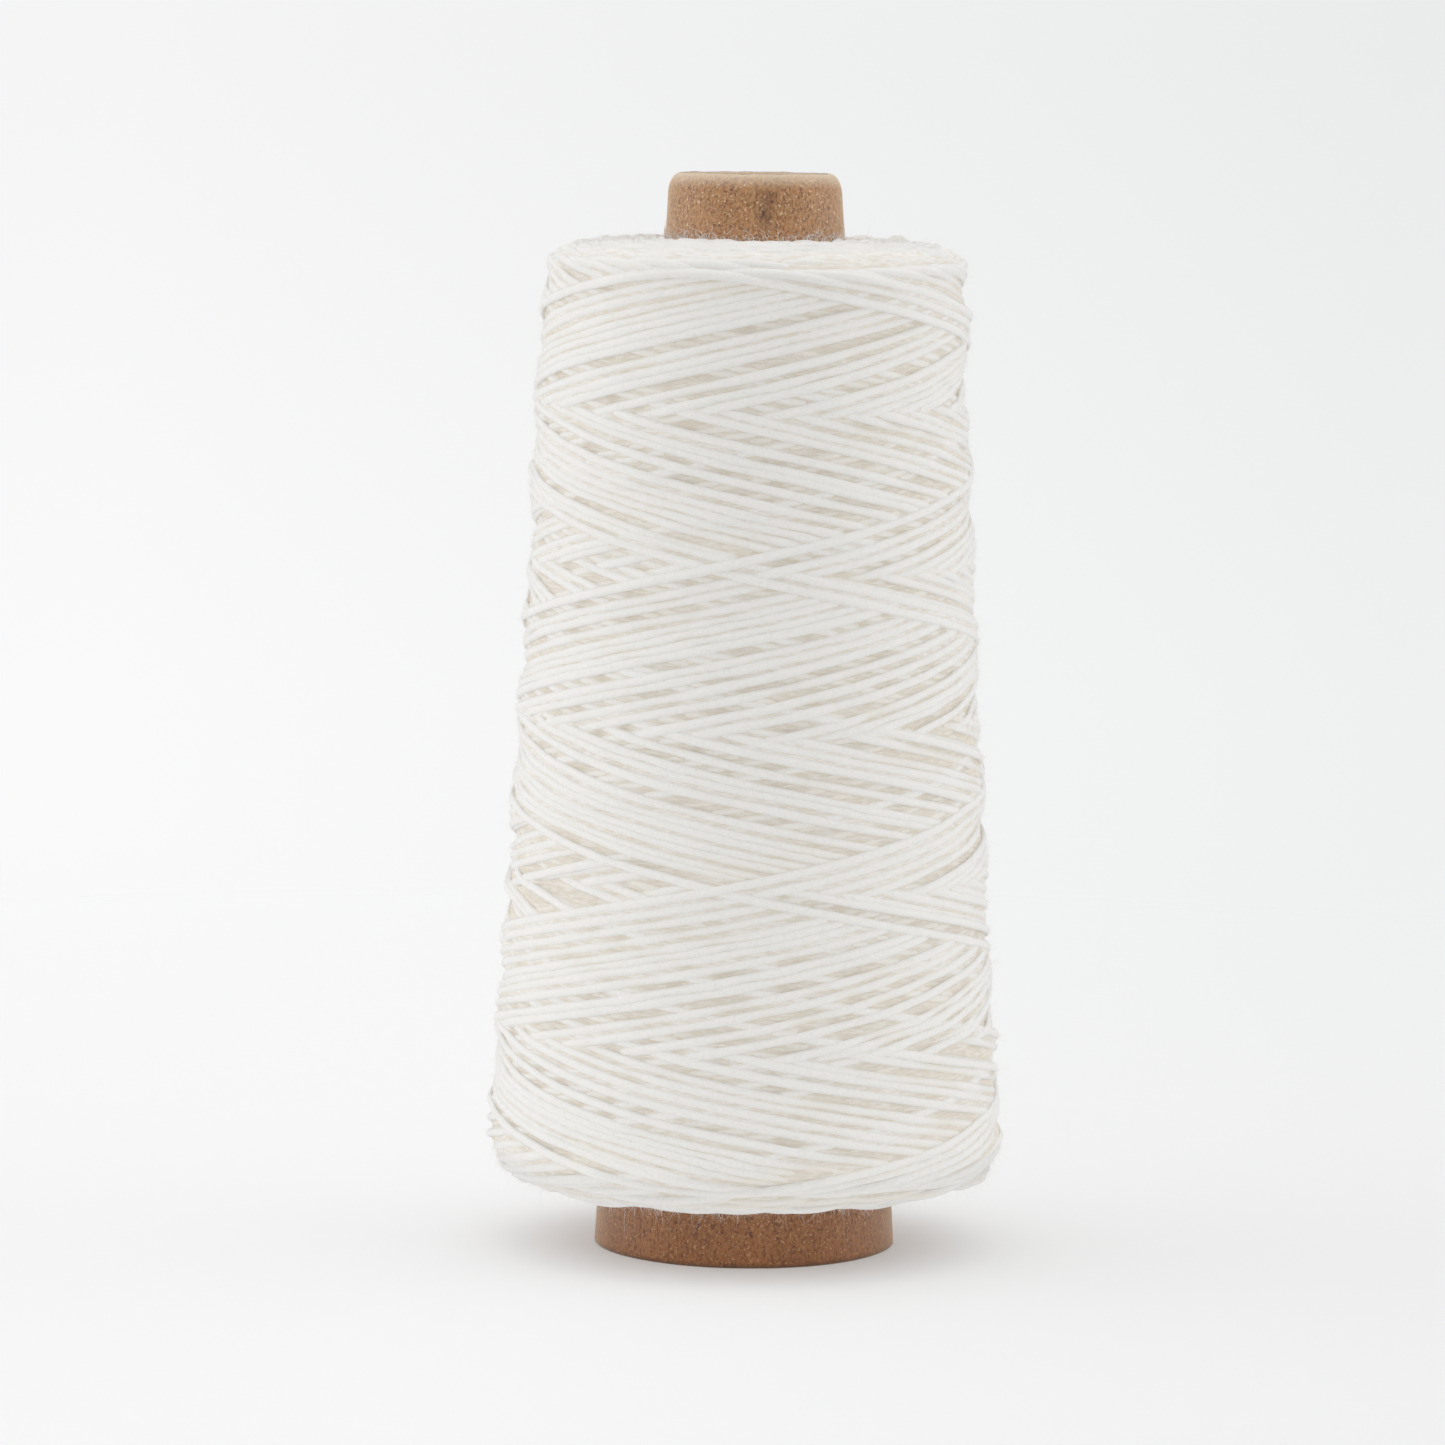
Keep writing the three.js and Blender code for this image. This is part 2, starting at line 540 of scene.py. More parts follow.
def samples_of_runs(strand, starts, ends):
    """Sample numbers for every run, evenly apart, and the run that each belongs to."""
    picked = []
    for start, end in zip(starts, ends):
        stride = max(1, round(SAMPLE_STEP / (strand["radius"][start] * COLUMN_ANGLE)))
        count = max(2, math.ceil((end - start) / stride) + 1)
        picked.append(np.linspace(start, end, count).round().astype(int))
    owner = np.repeat(np.arange(len(picked)), [len(p) for p in picked])
    return np.concatenate(picked), owner


def paired(u, v):
    """UV coordinates for every face corner, from two tables that fit together."""
    return np.stack(np.broadcast_arrays(u, v), axis=3).reshape(-1, 2)


def strand_section():
    """The strand's section: how far sideways and how far out each of its corners lies."""
    turn = np.arange(SIDES) * TURN / SIDES
    flare = 1 + STRAND_FLARE * (1 - np.sin(turn)) / 2
    return STRAND_WIDTH / 2 * np.cos(turn) * flare, np.sin(turn) * STRAND_HEIGHT / 2


def ring_walls(near, far, around):
    """Four-cornered faces between rings of points, from the first point of each pair of rings."""
    point = np.arange(around)
    following = (point + 1) % around
    near, far = near[:, None], far[:, None]
    corners = [near + point, near + following, far + following, far + point]
    return np.stack(corners, axis=2).reshape(-1, 4)


def end_caps(first_corner, reverse):
    """Four-cornered faces that close one end of each tube."""
    strips = []
    for k in range(SIDES // 2 - 1):
        strip = np.array([k, k + 1, SIDES - 2 - k, SIDES - 1 - k])
        strips.append(first_corner[:, None] + (strip[::-1] if reverse else strip))
    return np.concatenate(strips)


def strand_map(length, joined):
    """The UV map that the strand's material reads: along it in centimetres, and round it."""
    near, far = length[joined] / 10, length[joined + 1] / 10
    around = np.arange(SIDES) / SIDES
    following = around + 1 / SIDES
    u = np.stack([near, near, far, far], axis=1)[:, None]
    v = np.stack([around, following, following, around], axis=1)[None]
    return paired(u, v)


def sheet_map(segments):
    """A UV map that lays the tubes' segments out in rows on one square, all at one scale."""
    girth, margin = 4.1, 1.15
    per_row = math.ceil(math.sqrt(segments * girth * margin / SAMPLE_STEP))
    rows = math.ceil(segments / per_row)
    number = np.arange(segments)
    left = (number % per_row) / per_row
    right = left + 1 / per_row
    low = (number // per_row) / rows
    share = 0.05 + 0.9 * np.arange(SIDES + 1) / SIDES
    u = np.stack([left, left, right, right], axis=1)[:, None]
    v = np.stack([share[:-1], share[1:], share[1:], share[:-1]], axis=1)[None] / rows
    return paired(u, v + low[:, None, None])


def strand_piece(name, frames, samples, owner, level, material):
    """Tubes through the samples, one closed tube for each run."""
    sideways, out = strand_section()
    girth = frames["girth"][samples][:, None, None]
    side = frames["sideways"][samples][:, None] * sideways[None, :, None]
    outward = frames["outward"][samples][:, None] * out[None, :, None]
    rings = frames["place"][samples][:, None] + (side + outward) * girth
    vertices = rings.reshape(-1, 3)
    joined = np.flatnonzero(owner[1:] == owner[:-1])
    first = np.flatnonzero(np.diff(owner, prepend=-1))
    last = np.append(first[1:] - 1, len(samples) - 1)
    caps = [end_caps(first * SIDES, reverse=True), end_caps(last * SIDES, reverse=False)]
    walls = ring_walls(joined * SIDES, (joined + 1) * SIDES, SIDES)
    piece = mesh_object(name, vertices, np.concatenate([walls, *caps]), material)
    add_values(piece, "depth", level.depth(vertices))
    add_values(piece, "tone", np.repeat(frames["tone"][samples], SIDES))
    on_caps = np.zeros((4 * sum(len(cap) for cap in caps), 2))
    wall_map = strand_map(frames["length"][samples], joined)
    add_map(piece, "Strand", np.concatenate([wall_map, on_caps]))
    add_map(piece, "OFBake", np.concatenate([sheet_map(len(joined)), on_caps + 0.001]))
    return piece


def turned_map(radius, z):
    """A UV map that unrolls a turned body: round it, and along its section."""
    around = radius.shape[1]
    section = np.stack([radius.mean(axis=1), z.mean(axis=1)], axis=1)
    steps = np.linalg.norm(np.roll(section, -1, axis=0) - section, axis=1)
    share = np.concatenate([[0], np.cumsum(steps)]) / steps.sum()
    u = (np.arange(around)[:, None] + [0, 1, 1, 0]) / around
    v = np.stack([share[:-1], share[:-1], share[1:], share[1:]], axis=1)
    return paired(u[None], v[:, None])


def turned_piece(name, radius, z, material):
    """A closed body from rings: radius has a row for each ring and a column for each angle."""
    rings, around = radius.shape
    z = np.broadcast_to(z, radius.shape)
    angle = np.arange(around) * TURN / around
    vertices = np.stack([radius * np.cos(angle), radius * np.sin(angle), z], axis=2)
    ring = np.arange(rings) * around
    walls = ring_walls(ring, np.roll(ring, -1), around)
    piece = mesh_object(name, vertices.reshape(-1, 3), walls, material)
    add_map(piece, "OFBake", turned_map(radius, z))
    return piece


def buried_layers(level, growth, material):
    """The matted yarn that fills the package, and the creases between its outer strands."""
    above_bottom, below_top, off_core = 1.4, 0.7, 0.2
    row_stride, column_stride = 2, 3
    filled = (CHART_Z > STROKE_BOTTOM + above_bottom) & (CHART_Z < STROKE_TOP - below_top)
    rows = np.flatnonzero(filled)[::row_stride]
    columns = np.arange(0, COLUMNS, column_stride)
    z = CHART_Z[rows][:, None]
    outer = settle(level.matted[rows][:, columns], z, columns[None, :], growth)
    ends = z[[-1, 0]]
    inner = np.repeat(cone_radius(ends) + off_core, len(columns), axis=1)
    radius = np.concatenate([outer, inner])
    piece = turned_piece("yarn_buried_layers", radius, np.concatenate([z, ends]), material)
    vertices = np.empty(len(piece.data.vertices) * 3)
    piece.data.vertices.foreach_get("co", vertices)
    add_values(piece, "depth", level.depth(vertices.reshape(-1, 3) / MM))
    return piece


# ---- loose fibres

FIBRE_SIDES = 3
FUZZ_THICKNESS, LINT_THICKNESS = 0.034, 0.07
THINNING = 0.4
CURL_TURN, CURL_BESIDE = 6.0, 0.1


def fibre_faces(joints):
    """Faces of one fibre: its foot, its sides from joint to joint, and its tip."""
    tip = joints * FIBRE_SIDES
    last_ring = tip - FIBRE_SIDES
    faces = [[0, 2, 1]]
    for side in range(FIBRE_SIDES):
        other = (side + 1) % FIBRE_SIDES
        for ring in range(0, last_ring, FIBRE_SIDES):
            beyond = ring + FIBRE_SIDES
            faces.append([ring + side, ring + other, beyond + other])
            faces.append([ring + side, beyond + other, beyond + side])
        faces.append([last_ring + side, last_ring + other, tip])
    return np.array(faces)


def fibre_piece(name, shapes, material, thickness, joints, curl=0.0):
    """Fine fibres, each a closed spike from its root to its tip, bent and curled at its joints."""
    roots, directions, across = shapes["roots"], shapes["directions"], shapes["across"]
    beside = np.cross(directions, across)
    turn = np.arange(FIBRE_SIDES) * TURN / FIBRE_SIDES
    section = across[:, None] * np.cos(turn)[None, :, None]
    section = section + beside[:, None] * np.sin(turn)[None, :, None]
    section *= thickness / 2
    rings = []
    for share in np.arange(joints + 1) / joints:
        swing_across = across * math.sin(CURL_TURN * share)
        swing_beside = beside * (1 - math.cos(CURL_TURN * share)) * CURL_BESIDE
        way = directions * share + shapes["bends"] * share ** 2
        way = way + curl * (swing_across + swing_beside)
        spots = roots + way * shapes["lengths"][:, None]
        rings.append(spots[:, None] + section * (1 - THINNING * share))
    rings[-1] = rings[-1].mean(axis=1, keepdims=True)
    vertices = np.concatenate(rings, axis=1)
    first = np.arange(len(roots))[:, None, None] * vertices.shape[1]
    corners = (fibre_faces(joints)[None] + first).reshape(-1, 3)
    piece = mesh_object(name, vertices.reshape(-1, 3), corners, material, smooth=False)
    add_map(piece, "OFBake", fibre_map(len(roots), joints)[corners.ravel()])
    return piece


def fibre_map(count, joints):
    """A UV map that gives each fibre one cell of a square, with its root at the cell's foot."""
    per_row = math.ceil(math.sqrt(count))
    across = np.append(np.tile(np.linspace(0.1, 0.9, FIBRE_SIDES), joints), 0.5)
    up = np.append(np.repeat(np.linspace(0.1, 0.7, joints), FIBRE_SIDES), 0.9)
    number = np.arange(count)[:, None]
    u = (number % per_row + across) / per_row
    v = (number // per_row + up) / per_row
    return np.stack([u, v], axis=2).reshape(-1, 2)


def yarn_fuzz(name, frames, samples, material, rng, count, spread, joints, fall=0.0):
    """Fibres that stand off the strands in view. Their mean length is about three spreads."""
    chosen = rng.choice(samples, count)
    turn = rng.uniform(0.05, 0.95, count) * math.pi
    side = frames["sideways"][chosen]
    out = frames["outward"][chosen]
    normal = unit(side * np.cos(turn)[:, None] + out * np.sin(turn)[:, None])
    just_inside = 0.48
    roots = frames["place"][chosen]
    roots = roots + side * (np.cos(turn) * STRAND_WIDTH * just_inside)[:, None]
    roots = roots + out * (np.sin(turn) * STRAND_HEIGHT * just_inside)[:, None]
    along = frames["along"][chosen] * rng.choice([-1, 1], count)[:, None]
    stand = normal * rng.uniform(0.2, 1.0, count)[:, None]
    follow = along * rng.uniform(0.2, 1.2, count)[:, None]
    stray = 0.35 * rng.normal(size=(count, 3))
    directions = unit(stand + follow + stray - fall * np.array([0, 0, 1]))
    shapes = {
        "roots": roots,
        "directions": directions,
        "across": unit(np.cross(directions, normal)),
        "bends": 0.45 * rng.normal(size=(count, 3)) - 0.3 * normal,
        "lengths": rng.gamma(3.0, spread, count) + 0.3,
    }
    return fibre_piece(name, shapes, material, FUZZ_THICKNESS, joints)


def lint(name, height, upward, material, rng, count):
    """Curled fibres that lie over the paper where the yarn ends: upward is 1 or -1."""
    angle = rng.uniform(0, TURN, count)
    start = height + upward * rng.uniform(0.0, 0.7, count)
    radius = cone_radius(start) + rng.uniform(0.0, 0.06, count)
    outward = outward_at(angle)
    level = np.cross([0, 0, 1], outward)
    roots = outward * radius[:, None]
    roots[:, 2] = start
    rise = unit(outward * -upward * CONE_TAPER + np.array([0, 0, float(upward)]))
    stand = outward * rng.uniform(0.0, 0.04, count)[:, None]
    directions = unit(rise + level * rng.normal(0, 0.7, count)[:, None] + stand)
    shapes = {
        "roots": roots,
        "directions": directions,
        "bends": 0.5 * level * rng.normal(size=count)[:, None],
        "lengths": rng.gamma(2.6, 0.35, count) + 0.7,
        "across": unit(np.cross(directions, outward)) * rng.choice([-1, 1], count)[:, None],
    }
    return fibre_piece(name, shapes, material, LINT_THICKNESS, joints=6, curl=0.22)


# ---- paper cone

PAPER_AROUND = 480
PAPER_PLIES = 5
CUT_EDGE = 0.35
LAP_ANGLE = math.radians(-82)
LAP_STEP = 0.16
LAP_WIDTH = 0.03
SEAM_WIDTH = 0.07


def quarter_round(radius, z, depth, height, start, end, steps):
    """Points of a quarter ellipse about (radius, z), between two angles in quarter turns."""
    angle = np.linspace(start, end, steps) * math.pi / 2
    return np.stack([radius + depth * np.cos(angle), z + height * np.sin(angle)], axis=1)


def paper_section():
    """The wall in section: across the cut base, up the outside, over the nose, down the bore."""
    wall = CONE_WALL / math.cos(math.atan(CONE_TAPER))
    cut_steps, wall_steps, bore_steps = 16, 70, 40
    edge = CUT_EDGE
    cut_start = cone_radius(0) - wall + edge
    cut_shares = [0, *np.linspace(0.06, 1, cut_steps)]
    cut = [[cut_start + (wall - 2 * edge) * share, 0] for share in cut_shares]
    outer_foot = quarter_round(cone_radius(edge) - edge, edge, edge, edge, -0.8, 0, 4)
    round_start = CONE_HEIGHT - NOSE_ROUND_HEIGHT
    heights = np.linspace(1.2, round_start, wall_steps)[:, None]
    outer_wall = np.concatenate([cone_radius(heights), heights], axis=1)
    depth, height = NOSE_ROUND_DEPTH, NOSE_ROUND_HEIGHT
    nose = quarter_round(cone_radius(round_start) - depth, round_start, depth, height, 0.08, 1, 14)
    inner_round = 0.8
    inner_centre = cone_radius(CONE_HEIGHT) - wall + inner_round
    inner_top = CONE_HEIGHT - inner_round
    bore_round = quarter_round(inner_centre, inner_top, inner_round, inner_round, 1.15, 2, 7)
    bore_heights = np.linspace(CONE_HEIGHT - 3, edge, bore_steps)[:, None]
    bore = np.concatenate([cone_radius(bore_heights) - wall, bore_heights], axis=1)
    return np.concatenate([cut, outer_foot, outer_wall, nose, bore_round, bore])


def paper_cone(material, rng):
    """The cone of wound and glued paper, with its lap, its cut plies and its rolled nose."""
    section = paper_section()
    angle = np.arange(PAPER_AROUND) * TURN / PAPER_AROUND
    radius = np.repeat(section[:, :1], PAPER_AROUND, axis=1)
    z = np.repeat(section[:, 1:], PAPER_AROUND, axis=1)
    wall_middle = cone_radius(z) - CONE_WALL / 2
    outside = np.clip((radius - wall_middle) / (CONE_WALL / 2), 0, 1)
    from_lap = (angle - LAP_ANGLE) % TURN
    from_seam = (from_lap + math.pi) % TURN - math.pi + 0.02 * np.sin(z / 2.3)
    lap = LAP_STEP * (1 - from_lap / TURN - 0.5) * np.clip(from_lap / LAP_WIDTH, 0, 1)
    body = np.clip((CONE_HEIGHT - 1.5 - z) / 6, 0, 1)
    radius += outside * body * lap
    radius += 0.05 * body * np.sin(3 * angle + 0.7) + 0.03 * body * np.sin(7 * angle + 2.0)
    nose_part = np.clip((z - (CONE_HEIGHT - 4)) / 3, 0, 1)
    ripples = zip((5, 9, 14, 23), rng.uniform(0, TURN, 4))
    z += 0.02 * nose_part * sum(np.sin(n * angle + phase) for n, phase in ripples)
    cut = (z <= 0) & (outside > 0) & (outside < 1)
    ply = np.sin(outside * TURN * PAPER_PLIES + angle)
    z += np.where(cut, 0.05 * (1 + ply), 0)
    piece = turned_piece("paper_cone_board", radius[::-1], z[::-1], material)
    on_nose = np.clip((z - package_high.z) / 4, 0, 1) * (outside > 0.99)
    seam = np.exp(-(from_seam / SEAM_WIDTH) ** 2) * on_nose
    add_values(piece, "seam", seam[::-1])
    return piece


# ---- materials

class Nodes:
    """A node tree, with short calls for the nodes used here."""

    def __init__(self, tree):
        self.tree = tree

    def link(self, source, target):
        """Joins an output to an input."""
        self.tree.links.new(source, target)

    def put(self, socket, value):
        """Gives an input its value: another node's output, a number or a colour."""
        if isinstance(value, bpy.types.NodeSocket):
            self.link(value, socket)
        else:
            socket.default_value = value

    def node(self, kind, settings=None, **inputs):
        """A new node, with its settings and its named inputs."""
        node = self.tree.nodes.new(kind)
        for key, value in (settings or {}).items():
            setattr(node, key, value)
        for name, value in inputs.items():
            self.put(node.inputs[name], value)
        return node

    def maths(self, operation, *values):
        """A sum, product or other function of these values."""
        node = self.node("ShaderNodeMath", {"operation": operation})
        for socket, value in zip(node.inputs, values):
            self.put(socket, value)
        return node.outputs[0]

    def place(self):
        """The point's place on the part, in metres."""
        return self.node("ShaderNodeTexCoord").outputs["Object"]

    def attribute(self, name):
        """A value stored on the mesh."""
        return self.node("ShaderNodeAttribute", {"attribute_name": name}).outputs["Fac"]

    def noise(self, vector, scale, detail=3.0, roughness=0.55):
        """Noise from 0 to 1."""
        inputs = {"Vector": vector, "Scale": scale, "Detail": detail, "Roughness": roughness}
        return self.node("ShaderNodeTexNoise", **inputs).outputs["Fac"]

    def stretched(self, vector, scale):
        """Coordinates multiplied by a scale for each axis."""
        return self.node("ShaderNodeMapping", Vector=vector, Scale=scale).outputs["Vector"]

    def ramp(self, value, low, high, low_to=0.0, high_to=1.0):
        """A value carried from one range to another, and held at its ends."""
        ends = {"From Min": low, "From Max": high, "To Min": low_to, "To Max": high_to}
        return self.node("ShaderNodeMapRange", Value=value, **ends).outputs["Result"]

    def mix(self, share, first, second, blend="MIX"):
        """Two colours mixed. Sockets 6, 7 and 2 are the Mix node's colour sockets."""
        node = self.node("ShaderNodeMix", {"data_type": "RGBA", "blend_type": blend}, Factor=share)
        self.put(node.inputs[6], first)
        self.put(node.inputs[7], second)
        return node.outputs[2]

    def tinted(self, base, pattern, low, high, share, tint):
        """A colour with a tint over it: none where the pattern is at low, that share at high."""
        return self.mix(self.ramp(pattern, low, high, 0.0, share), base, tint)

    def mix_vectors(self, share, first, second):
        """Two vectors mixed. Sockets 4, 5 and 1 are the Mix node's vector sockets."""
        node = self.node("ShaderNodeMix", {"data_type": "VECTOR"}, Factor=share)
        self.put(node.inputs[4], first)
        self.put(node.inputs[5], second)
        return node.outputs[1]

    def normalized(self, vector):
        """A vector made one long."""
        node = self.node("ShaderNodeVectorMath", {"operation": "NORMALIZE"}, Vector=vector)
        return node.outputs[0]

    def blend_shaders(self, share, first, second, output):
        """Puts a mix of two shaders on the tree's output."""
        mixed = self.node("ShaderNodeMixShader")
        self.put(mixed.inputs[0], share)
        self.link(first.outputs[0], mixed.inputs[1])
        self.link(second.outputs[0], mixed.inputs[2])
        self.link(mixed.outputs[0], self.tree.nodes[output].inputs["Surface"])

    def bump(self, height, distance, strength, under=None):
        """A normal that shows this relief, over another one if it is given."""
        node = self.node("ShaderNodeBump", Height=height, Distance=distance, Strength=strength)
        if under is not None:
            self.link(under, node.inputs["Normal"])
        return node.outputs["Normal"]


class Material(Nodes):
    """The nodes of a new material, round its main shader."""

    def __init__(self, name):
        self.material = bpy.data.materials.new(name)
        self.material.use_nodes = True
        super().__init__(self.material.node_tree)
        self.shader = self.tree.nodes["Principled BSDF"]

    def shade(self, inputs):
        """Sets the main shader's inputs, and gives the finished material."""
        for name, value in inputs.items():
            self.put(self.shader.inputs[name], value)
        return self.material


def colour(red, green, blue):
    """A linear colour with full alpha."""
    return (red, green, blue, 1.0)


COTTON_LIGHT = colour(0.965, 0.955, 0.93)
# Painted shade: the warmer, darker colour of the yarn deep in the creases between strands.
COTTON_PAINTED_SHADE = colour(0.935, 0.885, 0.795)
END_ZONE, END_FULL = 5.5, 2.0


def softened(nodes, normal, place):
    """A normal turned part of the way to face straight out of the package, as soft fluff shades.

    Towards the ends, from END_ZONE to END_FULL millimetres off, it turns a little up or down, and
    at the top the relief keeps nearly all its own normal.
    """
    x, y, z = nodes.node("ShaderNodeSeparateXYZ", Vector=place).outputs
    top = (STROKE_TOP - END_ZONE) * MM, (STROKE_TOP - END_FULL) * MM
    bottom = (STROKE_BOTTOM + END_ZONE) * MM, (STROKE_BOTTOM + END_FULL) * MM
    up = nodes.ramp(z, *top, 0.0, 0.08)
    down = nodes.ramp(z, *bottom, 0.0, 0.08)
    share = nodes.ramp(z, *top, 0.35, 0.1)
    way_out = nodes.node("ShaderNodeCombineXYZ", X=x, Y=y, Z=nodes.maths("SUBTRACT", up, down))
    outward = nodes.normalized(way_out.outputs[0])
    return nodes.normalized(nodes.mix_vectors(share, normal, outward))


def cotton_strand():
    """Soft plied cotton: two plies, fine fibres along them, painted shade deep between the strands.
    """
    nodes = Material("cotton_strand")
    uv = nodes.node("ShaderNodeUVMap", {"uv_map": "Strand"}).outputs["UV"]
    along, around = nodes.node("ShaderNodeSeparateXYZ", Vector=uv).outputs[:2]
    plies = nodes.maths("MULTIPLY", around, 2.0)
    twist = nodes.maths("ADD", plies, nodes.maths("MULTIPLY", along, 3.4))
    ply = nodes.maths("ABSOLUTE", nodes.maths("SINE", nodes.maths("MULTIPLY", twist, math.pi)))
    place = nodes.place()
    fine = nodes.noise(place, 2100.0, 3.0, 0.7)
    fibres = nodes.noise(nodes.stretched(uv, (6.0, 9.0, 1.0)), 2.2, 4.0, 0.7)
    # Painted shade: the strands turn warmer and darker the deeper they lie between their
    # neighbours.
    base = nodes.tinted(COTTON_LIGHT, nodes.attribute("depth"), 0.3, 0.85, 0.95, COTTON_PAINTED_SHADE)
    base = nodes.tinted(base, nodes.attribute("tone"), -2.0, 2.0, 0.10, colour(0.95, 0.94, 0.92))
    base = nodes.tinted(base, fibres, 0.48, 0.68, 0.4, colour(0.87, 0.84, 0.77))
    base = nodes.tinted(base, fine, 0.48, 0.66, 0.5, colour(0.87, 0.845, 0.79))
    relief = nodes.bump(ply, 0.00012, 0.4)
    relief = nodes.bump(fibres, 0.00014, 0.6, relief)
    relief = nodes.bump(fine, 0.00016, 0.7, relief)
    return nodes.shade({
        "Base Color": base,
        "Normal": softened(nodes, relief, place),
        "Roughness": 0.95,
        "Specular IOR Level": 0.15,
        "Sheen Weight": 0.9,
        "Sheen Roughness": 0.6,
    })


def matted_cotton():
    """Yarn between the strands: painted shade, warmer and darker deep down; streaked the way they
    run.
    """
    nodes = Material("matted_cotton")
    place = nodes.place()
    streaks = nodes.noise(nodes.stretched(place, (1.0, 1.0, 7.0)), 420.0, 4.0, 0.65)
    tufts = nodes.noise(place, 1400.0, 2.0)
    # Painted shade: the matted yarn warmer and darker the deeper it lies under the strands' tops.
    deep = nodes.ramp(nodes.attribute("depth"), 0.1, 0.65)
    base = nodes.mix(deep, COTTON_LIGHT, colour(0.865, 0.805, 0.715))
    base = nodes.tinted(base, streaks, 0.44, 0.64, 0.6, colour(0.78, 0.71, 0.60))
    base = nodes.tinted(base, streaks, 0.52, 0.38, 0.5, COTTON_LIGHT)
    relief = nodes.bump(streaks, 0.0004, 0.6)
    relief = nodes.bump(tufts, 0.00012, 0.5, relief)
    return nodes.shade({
        "Base Color": base,
        "Normal": softened(nodes, relief, place),
        "Roughness": 0.95,
        "Specular IOR Level": 0.1,
    })


def cotton_fibre(name, translucency):
    """Loose fibres: lighter than the yarn, varied from place to place, light coming through."""
    nodes = Material(name)
    patches = nodes.noise(nodes.place(), 60.0, 2.0)
    tint = nodes.mix(patches, colour(0.985, 0.98, 0.97), colour(0.96, 0.955, 0.94))
    through = nodes.node("ShaderNodeBsdfTranslucent", Color=tint)
    nodes.blend_shaders(translucency, nodes.shader, through, "Material Output")
    return nodes.shade({
        "Base Color": tint,
        "Roughness": 0.9,
        "Specular IOR Level": 0.2,
        "Sheen Weight": 0.8,
        "Sheen Roughness": 0.5,
    })


def kraft_board():
    """Laminated kraft paper: felted pulp with flecks and specks, and painted shade low down.

    Its nose has a rolled lip painted pale as top light and a dark glue streak; its cut base's edge
    is painted shadow.
    """
    nodes = Material("kraft_board")
    place = nodes.place()
    height = nodes.node("ShaderNodeSeparateXYZ", Vector=place).outputs["Z"]
    mottle = nodes.noise(place, 160.0, 4.0, 0.6)
    grain = nodes.noise(place, 2900.0, 3.0, 0.7)
    felt = nodes.noise(nodes.stretched(place, (1.0, 1.0, 0.6)), 2200.0, 3.0, 0.7)
    flecks = nodes.noise(nodes.stretched(place, (1.0, 1.0, 0.8)), 2600.0, 2.0, 0.5)
    rust = nodes.noise(place, 700.0, 3.0, 0.65)
    specks = nodes.noise(place, 1000.0, 1.0, 0.4)
    seam = nodes.maths("MULTIPLY", nodes.attribute("seam"), nodes.ramp(mottle, 0.3, 0.6, 0.5, 1.0))
    # Painted shade: the cone darker towards its base, under the yarn's overhang.
    low = nodes.ramp(height, CONE_HEIGHT * MM * 0.2, 0.0, 0.0, 0.9)
    # Painted light: the nose's rolled lip paler where light from above falls; roughness eases there
    # too.
    painted_light_rim_share = 0.55
    painted_light_rim = nodes.ramp(height, (CONE_HEIGHT - 2.2) * MM, (CONE_HEIGHT - 0.1) * MM, 0.0, painted_light_rim_share)
    base = nodes.tinted(colour(0.37, 0.17, 0.06), mottle, 0.3, 0.7, 1.0, colour(0.49, 0.24, 0.095))
    base = nodes.tinted(base, grain, 0.45, 0.6, 0.6, colour(0.60, 0.37, 0.19))
    base = nodes.tinted(base, felt, 0.5, 0.6, 0.8, colour(0.19, 0.075, 0.03))
    base = nodes.tinted(base, rust, 0.58, 0.68, 0.5, colour(0.48, 0.19, 0.07))
    base = nodes.tinted(base, flecks, 0.62, 0.68, 0.8, colour(0.80, 0.62, 0.42))
    base = nodes.tinted(base, specks, 0.71, 0.75, 0.8, colour(0.12, 0.045, 0.03))
    # Painted shade multiplied in towards the base.
    base = nodes.mix(low, base, colour(0.66, 0.44, 0.22), "MULTIPLY")
    base = nodes.mix(nodes.maths("MULTIPLY", seam, 0.8), base, colour(0.13, 0.06, 0.035))
    # Painted light on the nose's rolled lip.
    base = nodes.mix(painted_light_rim, base, colour(0.86, 0.75, 0.58))
    # Painted shadow: the cut base's lowest 0.9 mm darkened as contact shadow on the floor.
    base = nodes.tinted(base, height, 0.9 * MM, 0.2 * MM, 0.75, colour(0.09, 0.045, 0.022))
    relief = nodes.bump(felt, 0.00008, 0.6)
    return nodes.shade({
        "Base Color": base,
        "Normal": nodes.bump(grain, 0.00006, 0.6, relief),
        "Roughness": nodes.ramp(painted_light_rim, 0.0, painted_light_rim_share, 0.44, 0.4),
        "Specular IOR Level": 0.6,
        "Sheen Weight": 0.9,
        "Sheen Roughness": 0.35,
        "Sheen Tint": colour(1.0, 0.84, 0.62),
    })


# ---- stage

FLOOR_RADIUS = 0.6
FLOOR_FADE = 0.15, 0.55
PALE_LEFT, PALE_RIGHT = colour(0.955, 0.955, 0.965), colour(0.865, 0.873, 0.873)
BACKDROP_TOP = 0.955
TENT_LEVEL = 1.045
FRONT_DIM = 0.44
OVERHEAD_LIFT = 0.14
LEFT_LIFT = 0.05


